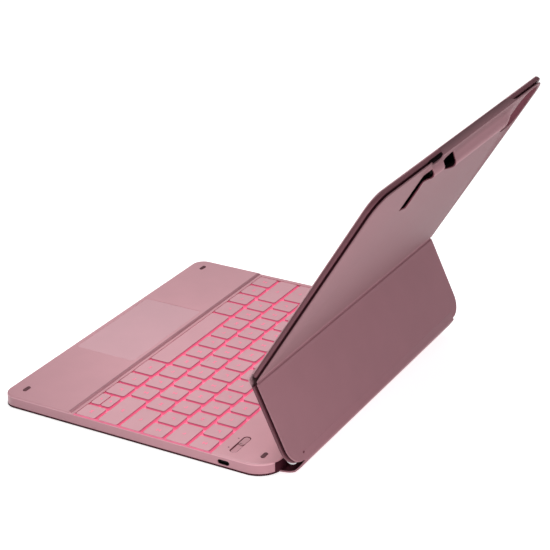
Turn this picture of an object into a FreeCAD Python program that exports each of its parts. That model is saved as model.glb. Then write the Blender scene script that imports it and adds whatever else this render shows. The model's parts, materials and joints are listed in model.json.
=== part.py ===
import FreeCAD, Part
import math
import os
import Sketcher
from FreeCAD import Placement, Rotation, Vector

# Tablet keyboard case: a keyboard base, a flap hinged on a barrel behind it, and a
# back panel that folds against the flap and carries the tablet.
# +X is the user's right, +Y is away from the user, +Z is up.
# The origin is the centre of the base's underside. All sizes are in millimetres.

doc = FreeCAD.newDocument("KeyboardCase")
sheet = doc.addObject("Spreadsheet::Sheet", "Dimensions")

DIMENSIONS = {
    # keyboard base
    "case_width": 281.0,
    "base_depth": 225.8,
    "front_corner": 10.5,
    "rear_corner": 19.0,
    "deck_level": 9.5,
    "deck_thick": 1.2,
    "wall_thick": 1.3,
    "skin_thick": 1.1,
    "bottom_thick": 1.0,
    "deck_edge": 1.2,
    # key well and keys
    "well_left": -139.2,
    "well_right": 139.2,
    "well_front": -51.4,
    "well_rear": 66.8,
    "well_slope": 1.1,
    "keys_left": -136.6,
    "key_pitch": 19.05,
    "key_gap": 3.0,
    "key_level": 8.8,
    "key_tall": 1.8,
    "key_travel": 1.0,
    "key_corner": 1.3,
    # trackpad
    "pad_width": 101.0,
    "pad_depth": 52.6,
    "pad_middle": -82.9,
    "pad_gap": 0.3,
    "pad_thick": 0.9,
    # power switch, lamps and port on the right
    "switch_x": 120.9,
    "switch_y": 78.7,
    "switch_long": 24.4,
    "switch_wide": 6.1,
    "slider_long": 12.2,
    "lamp_y": 73.3,
    "lamp_spread": 14.1,
    "lamp_radius": 0.6,
    "port_y": 76.3,
    "port_z": 4.4,
    "port_wide": 9.2,
    "port_tall": 3.4,
    # lid bumpers
    "bumper_x": 126.0,
    "bumper_y": 100.5,
    "bumper_long": 7.6,
    "bumper_wide": 3.2,
    "bumper_proud": 0.5,
    # hinge barrel behind the base
    "barrel_y": 121.4,
    "barrel_z": 13.0,
    "barrel_radius": 4.8,
    "barrel_half": 125.0,
    "barrel_cap": 1.0,
    "hinge_x": 104.0,
    "hinge_wide": 12.0,
    "pin_radius": 2.5,
    "running_fit": 0.05,
    # flap between the barrel and the fold
    "cover_width": 283.0,
    "flap_angle": 116.0,
    "flap_reach": 63.9,
    "flap_corner": 14.5,
    "barrel_drop": 7.8,
    # back panel above the fold
    "panel_angle": 59.3,
    "panel_reach": 170.3,
    "panel_corner": 14.0,
    "board_corner": 12.5,
    "fold_gap": 2.7,
    "cover_half": 3.2,
    "cover_skin": 0.9,
    "core_thick": 1.7,
    "core_inset": 1.6,
    "lining_thick": 0.6,
    "flap_half": 2.4,
    "flap_skin": 1.5,
    "flap_core": 2.2,
    # camera window in the panel
    "camera_x": -120.0,
    "camera_v": 148.1,
    "camera_wide": 32.0,
    "camera_tall": 40.2,
    "camera_corner": 11.5,
    "bezel_thick": 1.0,
    # pencil sleeve on the panel
    "sleeve_left": -78.0,
    "sleeve_right": 26.0,
    "strap_left": 45.0,
    "strap_right": 60.0,
    "sleeve_v": 158.0,
    "sleeve_wide": 18.0,
    "sleeve_tall": 7.2,
    "sleeve_skin": 1.0,
    # friction hinges inside the fold
    "fold_hinge_x": 80.0,
    "fold_pin_radius": 1.2,
    "knuckle_radius": 2.0,
    "leaf_thick": 0.8,
    "leaf_long": 14.0,
}

for line, (alias, value) in enumerate(DIMENSIONS.items(), start=1):
    sheet.set(f"A{line}", alias)
    sheet.set(f"B{line}", str(value))
    sheet.setAlias(f"B{line}", alias)
doc.recompute()


def size(alias):
    """A driving dimension, read back from the sheet."""
    return float(sheet.get(alias))


def cell(alias):
    """The same dimension, as an expression that a feature can be bound to."""
    return f"Dimensions.{alias}"


parts = []


def keep(shape_object, label, placement=None):
    """Register a finished sub-part under its file name."""
    shape_object.Label = label
    if placement is not None:
        shape_object.Placement = placement
    parts.append(shape_object)
    return shape_object


# ---------------------------------------------------------------- frames of the cover
flap_angle = size("flap_angle")
panel_angle = size("panel_angle")
barrel_axis = Vector(0, size("barrel_y"), size("barrel_z"))
flap_turn = Rotation(Vector(1, 0, 0), flap_angle)
panel_turn = Rotation(Vector(1, 0, 0), panel_angle)
fold_axis = barrel_axis + flap_turn.multVec(Vector(0, size("flap_reach"), -size("barrel_drop")))
# In both frames X runs along the fold, Y up the cover from the fold, Z towards the tablet.
flap_frame = Placement(fold_axis, flap_turn)
panel_frame = Placement(fold_axis, panel_turn)
base_frame = Placement()


# ---------------------------------------------------------------- sketch and pad helpers
def origin_plane(body, role):
    return [item for item in body.Origin.OriginFeatures if item.Role == role][0]


def rectangle(body, label, wide, deep, across="0", along="0", lift="0", role="XY_Plane"):
    """A centred rectangle sketch; its offsets and sizes are expressions on the sheet."""
    sketch = body.newObject("Sketcher::SketchObject", label)
    sketch.AttachmentSupport = [(origin_plane(body, role), "")]
    sketch.MapMode = "FlatFace"
    corners = [Vector(-5, -5, 0), Vector(5, -5, 0), Vector(5, 5, 0), Vector(-5, 5, 0)]
    for start, end in zip(corners, corners[1:] + corners[:1]):
        sketch.addGeometry(Part.LineSegment(start, end), False)
    for side in range(4):
        sketch.addConstraint(Sketcher.Constraint("Coincident", side, 2, (side + 1) % 4, 1))
    sketch.addConstraint(Sketcher.Constraint("Horizontal", 0))
    sketch.addConstraint(Sketcher.Constraint("Horizontal", 2))
    sketch.addConstraint(Sketcher.Constraint("Vertical", 1))
    sketch.addConstraint(Sketcher.Constraint("Vertical", 3))
    sketch.addConstraint(Sketcher.Constraint("Symmetric", 0, 1, 2, 1, -1, 1))
    width = sketch.addConstraint(Sketcher.Constraint("DistanceX", 0, 1, 0, 2, 10.0))
    depth = sketch.addConstraint(Sketcher.Constraint("DistanceY", 1, 1, 1, 2, 10.0))
    sketch.setExpression(f"Constraints[{width}]", wide)
    sketch.setExpression(f"Constraints[{depth}]", deep)
    sketch.setExpression(".AttachmentOffset.Base.x", across)
    sketch.setExpression(".AttachmentOffset.Base.y", along)
    sketch.setExpression(".AttachmentOffset.Base.z", lift)
    return sketch


def slab(label, wide, deep, thick, across="0", along="0", lift="0"):
    """A rectangular plate, padded upwards from its sketch."""
    body = doc.addObject("PartDesign::Body", label)
    sketch = rectangle(body, label + "_outline", wide, deep, across, along, lift)
    pad = body.newObject("PartDesign::Pad", label + "_pad")
    pad.Profile = sketch
    pad.setExpression("Length", thick)
    doc.recompute()
    return body


def pocket(body, label, wide, deep, across="0", along="0", lift="0", depth=None, upwards=False):
    """A rectangular cut, down through everything or to a depth from the sketch."""
    before = body.Shape.Volume
    if depth is None:
        lift = "20"
    sketch = rectangle(body, label + "_outline", wide, deep, across, along, lift)
    cut = body.newObject("PartDesign::Pocket", label)
    cut.Profile = sketch
    if depth is None:
        cut.Length = 40
    else:
        cut.setExpression("Length", depth)
    cut.Reversed = upwards
    doc.recompute()
    if not body.Shape.Volume < before:
        raise RuntimeError(f"{label} cut nothing")
    return cut


def chosen_edges(shape, wanted):
    return [f"Edge{index + 1}" for index, edge in enumerate(shape.Edges) if wanted(edge)]


def upright(edge):
    """True for a straight edge along the body's own Z."""
    if len(edge.Vertexes) != 2:
        return False
    span = edge.Vertexes[1].Point - edge.Vertexes[0].Point
    return abs(span.x) < 1e-6 and abs(span.y) < 1e-6 and edge.Length > 0.01


def dress(body, kind, label, prop, value, wanted):
    """A fillet or chamfer on every edge of the body that the test picks."""
    base = body.Tip
    names = chosen_edges(base.Shape, wanted)
    if not names:
        raise RuntimeError(f"{label} found no edge")
    feature = body.newObject(kind, label)
    feature.Base = (base, names)
    feature.setExpression(prop, value)
    doc.recompute()
    return feature


def round_uprights(body, label, radius, where=lambda point: True):
    def wanted(edge):
        return upright(edge) and where(edge.Vertexes[0].Point)
    return dress(body, "PartDesign::Fillet", label, "Radius", radius, wanted)


def round_base(body, label, shrink=0.0):
    """The base's four upright corners, tighter at the front than at the rear."""
    front = f"{cell('front_corner')} - {shrink}"
    rear = f"{cell('rear_corner')} - {shrink}"
    round_uprights(body, label + "_front_corners", front, lambda point: point.y < 0)
    round_uprights(body, label + "_rear_corners", rear, lambda point: point.y > 0)


def box(wide, deep, tall, x, y, z):
    """A plain box that is centred on x and y and stands on z."""
    return Part.makeBox(wide, deep, tall, Vector(x - wide / 2, y - deep / 2, z))


def rod(radius, start, end, y, z):
    """A round bar along X."""
    return Part.makeCylinder(radius, end - start, Vector(start, y, z), Vector(1, 0, 0))


def group(label, shapes, frame=base_frame):
    """Several identical or linked solids kept under one name."""
    feature = doc.addObject("Part::Feature", label)
    feature.Shape = Part.makeCompound(shapes) if len(shapes) > 1 else shapes[0]
    return keep(feature, label, frame)


def cut_away(body, label, tools, frame=base_frame):
    """A body less some loose solids, kept as the finished sub-part."""
    cutters = doc.addObject("Part::Feature", label + "_openings")
    cutters.Shape = Part.makeCompound(tools)
    result = doc.addObject("Part::Cut", label + "_cut")
    result.Base = body
    result.Tool = cutters
    body.Label = label + "_blank"
    doc.recompute()
    if not result.Shape.Volume < body.Shape.Volume:
        raise RuntimeError(f"{label} lost nothing")
    return keep(result, label, frame)


def pill(long, wide, tall, x, y, z):
    """A flat bar along X with half-round ends."""
    radius = wide / 2
    straight = long / 2 - radius
    middle = box(2 * straight, wide, tall, x, y, z)
    left = Part.makeCylinder(radius, tall, Vector(x - straight, y, z))
    right = Part.makeCylinder(radius, tall, Vector(x + straight, y, z))
    return middle.fuse([left, right]).removeSplitter()


# ---------------------------------------------------------------- keyboard base
half_width = size("case_width") / 2
half_depth = size("base_depth") / 2
deck_level = size("deck_level")
deck_thick = size("deck_thick")
deck_under = deck_level - deck_thick
skin_thick = size("skin_thick")
floor_top = skin_thick + size("bottom_thick")
inner_wide = f"{cell('case_width')} - 2 * {cell('wall_thick')}"
inner_deep = f"{cell('base_depth')} - 2 * {cell('wall_thick')}"
well_wide = f"{cell('well_right')} - {cell('well_left')}"
well_deep = f"{cell('well_rear')} - {cell('well_front')}"
well_across = f"({cell('well_right')} + {cell('well_left')}) / 2"
well_along = f"({cell('well_rear')} + {cell('well_front')}) / 2"
pin_y = size("barrel_y")
pin_z = size("barrel_z")
hinge_x = size("hinge_x")
hinge_wide = size("hinge_wide")
side_clearance = 0.3
arm_wide = hinge_wide - 2 * side_clearance
arm_low = 3.0
arm_high = 5.0


def make_deck_frame():
    """The pink top shell: palm rest, rims, rear deck and side walls in one piece."""
    tall = f"{cell('deck_level')} - {cell('skin_thick')}"
    body = slab("deck_frame", cell("case_width"), cell("base_depth"), tall, lift=cell("skin_thick"))
    round_base(body, "deck_frame")
    pocket(body, "deck_frame_well", well_wide, well_deep, across=well_across, along=well_along)
    pocket(body, "deck_frame_trackpad", cell("pad_width"), cell("pad_depth"), along=cell("pad_middle"))

    def trackpad_corner(point):
        on_side = abs(abs(point.x) - size("pad_width") / 2) < 0.01
        return on_side and point.y < size("well_front")
    round_uprights(body, "deck_frame_trackpad_corners", "2.4", trackpad_corner)

    def well_lip(edge):
        box_of_edge = edge.BoundBox
        long_enough = box_of_edge.XLength > 200
        in_line = abs(box_of_edge.YMin - size("well_front")) < 0.01
        return long_enough and in_line and abs(box_of_edge.ZMin - deck_level) < 0.01
    dress(body, "PartDesign::Chamfer", "deck_frame_slope", "Size", cell("well_slope"), well_lip)

    def outer_rim(edge):
        reach = edge.BoundBox
        outside = max(abs(reach.XMax), abs(reach.XMin)) > half_width - 0.01 or \
            max(abs(reach.YMax), abs(reach.YMin)) > half_depth - 0.01
        return outside and abs(reach.ZMin - deck_level) < 0.01 and reach.ZLength < 0.01
    dress(body, "PartDesign::Fillet", "deck_frame_edge", "Radius", cell("deck_edge"), outer_rim)

    # The well's recess runs out over the side walls, with a ramp at its front end.
    recess_top = deck_level + 2
    recess_floor = deck_level - size("well_slope")
    ramp_start = size("well_front") - 1.6
    ramp = [(ramp_start, recess_top), (ramp_start, deck_level), (size("well_front"), recess_floor),
            (size("well_rear"), recess_floor), (size("well_rear"), recess_top)]
    side_recesses = []
    for start in (size("well_right") - 0.1, size("well_left") + 0.1 - 4):
        points = [Vector(start, y, z) for y, z in ramp]
        side_recesses.append(Part.Face(Part.makePolygon(points + points[:1])).extrude(Vector(4, 0, 0)))
    switch_slot = pill(size("switch_long"), size("switch_wide"), 4, size("switch_x"), size("switch_y"),
                       deck_under - 1)
    tools = side_recesses + [switch_slot]
    for side in (-1, 1):
        lamp_x = size("switch_x") + side * size("lamp_spread") / 2
        tools.append(Part.makeCylinder(size("lamp_radius") + 0.05, 4,
                                       Vector(lamp_x, size("lamp_y"), deck_under - 1)))
        arm = box(arm_wide + 0.6, 8, arm_high - arm_low + 0.5, side * hinge_x, half_depth, arm_low - 0.25)
        tools.append(arm)
        for end in (-1, 1):
            recess = pill(size("bumper_long") + 0.1, size("bumper_wide") + 0.1, 2,
                          side * size("bumper_x"), end * size("bumper_y"), deck_level - 0.4)
            tools.append(recess)
    port = pill(size("port_wide") + 0.2, size("port_tall") + 0.2, 8, 0, 0, -4)
    port.Placement = Placement(Vector(half_width, size("port_y"), size("port_z")),
                               Rotation(Vector(0, 1, 0), Vector(0, 0, 1), Vector(1, 0, 0), "XZY"))
    tools.append(port)
    hollow = slab("deck_frame_hollow", inner_wide, inner_deep, f"{tall} - {cell('deck_thick')}",
                  lift=cell("skin_thick"))
    round_base(hollow, "deck_frame_inner", size("wall_thick"))
    walls = doc.addObject("Part::Cut", "deck_frame_walls")
    walls.Base = body
    walls.Tool = hollow
    body.Label = "deck_frame_slab"
    doc.recompute()
    cut_away(walls, "deck_frame", tools)


def make_base_plates():
    """The flat layers inside and under the shell, from the desk upwards."""
    skin = slab("base_skin", f"{cell('case_width')} - 0.4", f"{cell('base_depth')} - 0.4", cell("skin_thick"))
    round_base(skin, "base_skin")
    keep(skin, "base_skin")

    bottom = slab("bottom_plate", f"{inner_wide} - 0.4", f"{inner_deep} - 0.4", cell("bottom_thick"),
                  lift=cell("skin_thick"))
    round_base(bottom, "bottom_plate", size("wall_thick") + 0.2)
    keep(bottom, "bottom_plate")

    backlight = slab("backlight_sheet", f"{well_wide} - 1", f"{well_deep} - 1", "0.5",
                     across=well_across, along=well_along, lift="4.5")
    keep(backlight, "backlight_sheet")
    plate = slab("keyboard_plate", f"{well_wide}", f"{well_deep} + 2", "0.5",
                 across=well_across, along=well_along, lift="5.0")
    keep(plate, "keyboard_plate")
    membrane = slab("key_membrane", f"{well_wide} - 0.6", f"{well_deep} - 0.6", "0.3",
                    across=well_across, along=well_along, lift="5.5")
    keep(membrane, "key_membrane")

    board = slab("main_board", "92", "24", "1.0", across="84", along="82",
                 lift=f"{cell('skin_thick')} + {cell('bottom_thick')}")
    keep(board, "main_board")
    touch = slab("trackpad_board", f"{cell('pad_width')} - 8", f"{cell('pad_depth')} - 8", "0.8",
                 along=cell("pad_middle"), lift="7.0")
    keep(touch, "trackpad_board")


def make_trackpad():
    """The clicking glass plate, level with the palm rest."""
    plate = slab("trackpad_plate", f"{cell('pad_width')} - 2 * {cell('pad_gap')}",
                 f"{cell('pad_depth')} - 2 * {cell('pad_gap')}", cell("pad_thick"),
                 along=cell("pad_middle"), lift=f"{cell('deck_level')} - 0.1 - {cell('pad_thick')}")
    round_uprights(plate, "trackpad_plate_corners", "2.1")
    keep(plate, "trackpad_plate")


def make_base_fittings():
    """Cells, magnets, bumpers, lamps, switch and charging port."""
    cells = [box(70, 44, 4, side * 92, size("pad_middle"), floor_top) for side in (-1, 1)]
    group("battery_cells", cells)
    magnets = [box(26, 4, 3, side * 100, -half_depth + 5, floor_top) for side in (-1, 1)]
    group("closing_magnets", magnets)

    bumpers = []
    for side in (-1, 1):
        for end in (-1, 1):
            bumper = pill(size("bumper_long"), size("bumper_wide"), 0.4 + size("bumper_proud"),
                          side * size("bumper_x"), end * size("bumper_y"), deck_level - 0.4)
            bumpers.append(bumper)
    group("lid_bumpers", bumpers)

    lamps = []
    for side in (-1, 1):
        lamp_x = size("switch_x") + side * size("lamp_spread") / 2
        lamp_foot = Vector(lamp_x, size("lamp_y"), deck_under)
        lamps.append(Part.makeCylinder(size("lamp_radius"), deck_thick, lamp_foot))
    group("indicator_lenses", lamps)

    housing = box(size("switch_long") + 4, size("switch_wide") + 3, 2.1, size("switch_x"), size("switch_y"),
                  deck_under - 2.1)
    track = box(size("switch_long") - 4, 1.6, 1.4, size("switch_x"), size("switch_y"), deck_under - 1.4)
    group("switch_housing", [housing.cut(track)])
    slider_x = size("switch_x") - (size("switch_long") - size("slider_long")) / 2 + 0.3
    knob_wide = size("switch_wide") - 0.6
    knob = pill(size("slider_long"), knob_wide, 1.0, slider_x, size("switch_y"), deck_under + 0.1)
    grip = box(0.6, size("switch_wide") - 2, 0.2, slider_x, size("switch_y"), deck_under + 1.1)
    stem = box(3, 1.2, 1.3, slider_x, size("switch_y"), deck_under - 1.2)
    group("power_slider", [knob.fuse([grip, stem]).removeSplitter()])

    shell = pill(size("port_wide"), size("port_tall"), 7, 0, 0, -7.4)
    cavity = pill(size("port_wide") - 0.7, size("port_tall") - 0.7, 6.4, 0, 0, -6.8)
    tongue = box(6.6, 0.7, 5.4, 0, 0, -6.8)
    port = shell.cut(cavity).fuse(tongue).removeSplitter()
    stand = Placement(Vector(half_width, size("port_y"), size("port_z")),
                      Rotation(Vector(0, 1, 0), Vector(0, 0, 1), Vector(1, 0, 0), "XZY"))
    group("usb_c_port", [port], stand)


# ---------------------------------------------------------------- keys
# Each row lists its keys from left to right as (node, width in key units).
KEY_ROWS = [
    [("left_modifier_keys", 1)] * 3 + [("left_modifier_keys", 1.25), ("space_key", 5),
                                       ("right_modifier_keys", 1.25), ("right_modifier_keys", 1),
                                       ("arrow_left_key", 1), ("arrow_pair", 1), ("arrow_right_key", 1)],
    [("left_shift_key", 2.25)] + [("bottom_letter_keys", 1)] * 10 + [("right_shift_key", 2.25)],
    [("caps_key", 1.75)] + [("home_letter_keys", 1)] * 11 + [("enter_key", 1.75)],
    [("tab_key", 1.5)] + [("top_letter_keys", 1)] * 13,
    [("number_row_keys", 1)] * 13 + [("backspace_key", 1.5)],
    [("escape_key", 1.5)] + [("function_row_keys", 1)] * 12 + [("lock_key", 1)],
]
half_key_gap = 0.7


def key_cap(wide, deep, x, y):
    """A keycap with rounded corners, a softened top edge and a hollow underside."""
    low = size("key_level") - size("key_tall")
    cap = box(wide, deep, size("key_tall"), x, y, low)
    cap = cap.makeFillet(size("key_corner"), [edge for edge in cap.Edges if upright(edge)])
    rim = [edge for edge in cap.Edges if edge.BoundBox.ZMin > size("key_level") - 0.01]
    cap = cap.makeChamfer(0.25, rim)
    hollow = box(wide - 2.4, deep - 2.4, size("key_tall") - 0.8, x, y, low)
    return cap.cut(hollow)


def key_support(wide, deep, x, y):
    """The flat scissor frame that a key stands on."""
    tall = size("key_level") - size("key_tall") - 5.8 - 0.2
    ring = box(wide, deep, tall, x, y, 5.8)
    return ring.cut(box(wide - 2, deep - 2, tall, x, y, 5.8))


def make_keys():
    pitch = size("key_pitch")
    gap = size("key_gap")
    caps = {}
    supports = []
    for row, keys in enumerate(KEY_ROWS):
        x = size("keys_left")
        y = -49.85 + pitch * (row + 0.5)
        for node, units in keys:
            wide = units * pitch - gap
            middle = x + units * pitch / 2
            deep = pitch - gap
            if node == "arrow_pair":
                half = (deep - half_key_gap) / 2
                for name, side in (("arrow_down_key", -1), ("arrow_up_key", 1)):
                    place = y + side * (half + half_key_gap) / 2
                    caps.setdefault(name, []).append(key_cap(wide, half, middle, place))
                    supports.append(key_support(7, 4, middle, place))
            else:
                caps.setdefault(node, []).append(key_cap(wide, deep, middle, y))
                supports.append(key_support(min(wide - 5, 22), 9, middle, y))
            x += units * pitch
    for name, shapes in caps.items():
        group(name, shapes)
    group("scissor_supports", supports)


# ---------------------------------------------------------------- barrel hinge
def make_barrel_hinge():
    """Brackets and pins on the base, and the barrel that turns with the flap."""
    ring_radius = size("barrel_radius") - 0.2
    brackets = []
    pins = []
    for side in (-1, 1):
        middle = side * hinge_x
        start = middle - arm_wide / 2
        outline = [(98, arm_low), (116, arm_low), (122.5, 9.0), (118, 15.0), (113.2, 9.0),
                   (113.2, arm_high), (98, arm_high)]
        points = [Vector(start, y, z) for y, z in outline]
        arm = Part.Face(Part.makePolygon(points + points[:1])).extrude(Vector(arm_wide, 0, 0))
        ring = rod(ring_radius, start, start + arm_wide, pin_y, pin_z)
        foot = box(26, 12, 1.0, middle, 100, floor_top)
        post = box(arm_wide, 6, arm_low - floor_top - 1.0 + 0.5, middle, 100, floor_top + 1.0)
        bore = rod(size("pin_radius"), start - 1, start + arm_wide + 1, pin_y, pin_z)
        brackets.append(arm.fuse([ring, foot, post]).removeSplitter().cut(bore))
        pins.append(rod(size("pin_radius"), middle - 16, middle + 16, pin_y, pin_z))
    group("hinge_brackets", brackets)
    group("hinge_pins", pins)

    # Everything below is in the flap's own frame, with the barrel's axis at (along, out).
    along = -size("flap_reach")
    out = size("barrel_drop")
    end = size("barrel_half")
    leaf_face = size("flap_half") - size("lining_thick")
    tube = rod(size("barrel_radius"), -end, end, along, out)
    saddle = box(2 * end - 12, 9, out - leaf_face, 0, along, leaf_face)
    leaf = box(2 * end - 12, 14, 1.0, 0, along + 8, leaf_face)
    barrel = tube.fuse([saddle, leaf])
    for side in (-1, 1):
        middle = side * hinge_x
        bore = rod(size("pin_radius") + size("running_fit"), middle - 17, middle + 17, along, out)
        notch = box(hinge_wide, 30, 30, middle, along - 4.5, leaf_face + 0.5)
        barrel = barrel.cut(bore).cut(notch)
    group("hinge_barrel", [barrel.removeSplitter()], flap_frame)
    caps = []
    for side in (-1, 1):
        start = min(side * end, side * (end + size("barrel_cap")))
        disc = rod(size("barrel_radius"), start, start + size("barrel_cap"), along, out)
        outer = [edge for edge in disc.Edges if abs(abs(edge.BoundBox.XMin) - end) > 0.5
                 and edge.BoundBox.XLength < 0.01]
        caps.append(disc.makeChamfer(0.4, outer))
    group("barrel_caps", caps, flap_frame)


def make_spine_skin():
    """The soft skin that runs from under the base and around behind the barrel."""
    thick = 1.2
    half = half_width - size("flap_corner")
    # The outer face, in steps outwards and upwards from the barrel's axis.
    steps = [(-6.2, -12.5), (-2.9, -11.9), (0, -11.25), (2.9, -10.0), (4.8, -8.4), (6.4, -6.6),
             (8.5, -3.9), (10.0, -1.5), (11.2, 0.9), (11.1, 2.4), (10.1, 4.3)]
    outer = [Vector(-half, pin_y + out, pin_z + up) for out, up in steps]
    inner = []
    for index, point in enumerate(outer):
        before = outer[max(0, index - 1)]
        after = outer[min(len(outer) - 1, index + 1)]
        run = (after - before).normalize()
        inner.append(point + Vector(0, -run.z, run.y) * thick)
    outer_curve = Part.BSplineCurve()
    outer_curve.interpolate(outer)
    inner_curve = Part.BSplineCurve()
    inner_curve.interpolate(inner[::-1])
    root = Vector(-half, half_depth - 0.2, 0)
    root_top = Vector(-half, half_depth - 0.2, skin_thick)
    wall_foot = Vector(-half, half_depth + 0.3, skin_thick)
    edges = [
        Part.LineSegment(root, outer[0]),
        outer_curve,
        Part.LineSegment(outer[-1], inner[-1]),
        inner_curve,
        Part.LineSegment(inner[0], wall_foot),
        Part.LineSegment(wall_foot, root_top),
        Part.LineSegment(root_top, root),
    ]
    outline = Part.Wire([edge.toShape() for edge in edges])
    group("spine_skin", [Part.Face(outline).extrude(Vector(2 * half, 0, 0))])


# ---------------------------------------------------------------- cover layers
cover_half = size("cover_half")
cover_skin = size("cover_skin")
core_thick = size("core_thick")
core_inset = size("core_inset")
lining_thick = size("lining_thick")
fold_gap = size("fold_gap")
board_gap = fold_gap + 1.6


def cover_sheet(label, near, far, low, thick, inset, corner):
    """One layer of the cover between two distances from the fold."""
    wide = f"{cell('cover_width')} - 2 * {inset}"
    middle = (near + far) / 2
    body = slab(label, wide, str(abs(far - near)), str(thick), along=str(middle), lift=str(low))

    def outer_end(point):
        return abs(point.y - far) < 0.01
    if corner:
        round_uprights(body, label + "_corners", str(corner - inset), outer_end)

    def fold_end(point):
        return abs(point.y - near) < 0.01
    round_uprights(body, label + "_fold_corners", "2", fold_end)
    return body


def camera_prism(shrink):
    """A bar through the whole cover in the outline of the camera opening."""
    tall = 4 * cover_half
    bar = box(size("camera_wide") - 2 * shrink, size("camera_tall") - 2 * shrink, tall,
              size("camera_x"), size("camera_v"), -tall / 2)
    return bar.makeFillet(size("camera_corner") - shrink, [edge for edge in bar.Edges if upright(edge)])


def leaf_slots():
    """Room in the boards for the leaves of the fold's friction hinges."""
    return [box(34, 36, 20, side * size("fold_hinge_x"), 0, -10) for side in (-1, 1)]


def make_flap():
    """Skin, stiff core, board and lining of the short lower flap."""
    tip = -size("flap_reach") + 0.6
    corner = size("flap_corner")
    skin_low = -cover_half
    flap_skin = size("flap_skin")
    flap_core = size("flap_core")
    core_low = skin_low + flap_skin
    board_low = core_low + flap_core
    lining_low = size("flap_half") - lining_thick
    skin = cover_sheet("flap_back_skin", -fold_gap, tip, skin_low, flap_skin, 0, corner)
    core = cover_sheet("flap_core", -board_gap, tip + core_inset, core_low, flap_core, core_inset, corner)
    board = cover_sheet("flap_board", -board_gap, tip, board_low, lining_low - board_low, 0, corner)
    edge = -size("flap_reach") + 15.5
    lining = cover_sheet("flap_lining", -board_gap, edge, lining_low, lining_thick, 0.6, 0)
    keep(skin, "flap_back_skin", flap_frame)
    keep(lining, "flap_lining", flap_frame)
    cut_away(core, "flap_core", leaf_slots(), flap_frame)
    cut_away(board, "flap_board", leaf_slots(), flap_frame)


def make_panel():
    """Skin, stiff core, board and lining of the tall panel, all cut for the camera."""
    tip = size("panel_reach")
    corner = size("panel_corner")
    skin_low = -cover_half
    core_low = skin_low + cover_skin
    board_low = core_low + core_thick
    lining_low = cover_half - lining_thick
    skin = cover_sheet("panel_back_skin", fold_gap, tip, skin_low, cover_skin, 0, corner)
    core = cover_sheet("panel_core", board_gap, tip - core_inset, core_low, core_thick, core_inset, corner)
    board_corner = size("board_corner")
    board = cover_sheet("panel_board", board_gap, tip, board_low, lining_low - board_low, 0, board_corner)
    lining = cover_sheet("panel_lining", board_gap, tip - 0.4, lining_low, lining_thick, 0.4, board_corner)
    tray_deep = 1.4
    for side in (-1, 1):
        pocket(board, f"panel_board_tray_{side + 1}", "62", "96", across=f"{side} * 56", along="72",
               lift=str(lining_low - tray_deep), depth=str(tray_deep), upwards=True)
    window = camera_prism(0)
    tunnel_long = size("strap_right") - size("sleeve_left")
    tunnel_x = (size("strap_right") + size("sleeve_left")) / 2
    tunnel = box(tunnel_long, size("sleeve_wide") - 3, 20, tunnel_x, size("sleeve_v"), -10)
    cut_away(skin, "panel_back_skin", [window, tunnel], panel_frame)
    cut_away(core, "panel_core", [window] + leaf_slots(), panel_frame)
    cut_away(board, "panel_board", [window] + leaf_slots(), panel_frame)
    cut_away(lining, "panel_lining", [window], panel_frame)

    magnets = []
    for side in (-1, 1):
        for column in (-1, 0, 1):
            for row in (-2, -1, 0, 1, 2):
                place = (side * 56 + column * 18, 72 + row * 18)
                magnets.append(box(12, 6, tray_deep - 0.1, place[0], place[1], lining_low - tray_deep))
    group("tablet_magnets", magnets, panel_frame)

    slice_of_cover = box(100, 100, 2 * cover_half, size("camera_x"), size("camera_v"), -cover_half)
    ring = camera_prism(0).cut(camera_prism(size("bezel_thick"))).common(slice_of_cover)
    group("camera_bezel", [ring], panel_frame)


def make_pencil_sleeve():
    """The soft tunnel across the panel's back, and the strap beside its mouth."""
    half = size("sleeve_wide") / 2
    tall = size("sleeve_tall")
    skin = size("sleeve_skin")
    middle = size("sleeve_v")
    back = -cover_half

    def arch(reach, rise, start, end):
        left = Vector(start, middle - reach, back)
        top = Vector(start, middle, back - rise)
        right = Vector(start, middle + reach, back)
        curve = Part.Arc(left, top, right).toShape()
        base = Part.LineSegment(right, left).toShape()
        return Part.Face(Part.Wire([curve, base])).extrude(Vector(end - start, 0, 0))

    def tunnel(start, end, closed):
        solid = arch(half, tall, start, end)
        hollow_start = start + skin if closed else start
        return solid.cut(arch(half - 1.5, tall - skin, hollow_start, end))
    sleeve = tunnel(size("sleeve_left"), size("sleeve_right"), True)
    strap = tunnel(size("strap_left"), size("strap_right"), False)
    group("pencil_sleeve", [sleeve, strap], panel_frame)


def make_fold_hinges():
    """Two friction hinges inside the fold: leaves, and pins fixed in the flap's leaf."""
    radius = size("knuckle_radius")
    pin = size("fold_pin_radius")
    thick = size("leaf_thick")
    long = size("leaf_long")

    def leaf(middle, bands, direction, bore):
        plate = box(30, long, thick, middle, direction * (long / 2 + radius + 0.5), -thick)
        shapes = []
        for start, end in bands:
            shapes.append(rod(radius, middle + start, middle + end, 0, 0))
            web = box(end - start, radius + 1.0, thick, middle + (start + end) / 2,
                      direction * (radius + 1.0) / 2, -thick)
            shapes.append(web)
        solid = plate.fuse(shapes).removeSplitter()
        return solid.cut(rod(bore, middle - 20, middle + 20, 0, 0))

    lower = []
    upper = []
    pins = []
    for side in (-1, 1):
        middle = side * size("fold_hinge_x")
        lower.append(leaf(middle, [(-15, -7.2), (7.2, 15)], -1, pin))
        upper.append(leaf(middle, [(-6.9, 6.9)], 1, pin + size("running_fit")))
        pins.append(rod(pin, middle - 15, middle + 15, 0, 0))
    group("fold_leaves_lower", lower, flap_frame)
    group("fold_pins", pins, flap_frame)
    group("fold_leaves_upper", upper, panel_frame)


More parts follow.
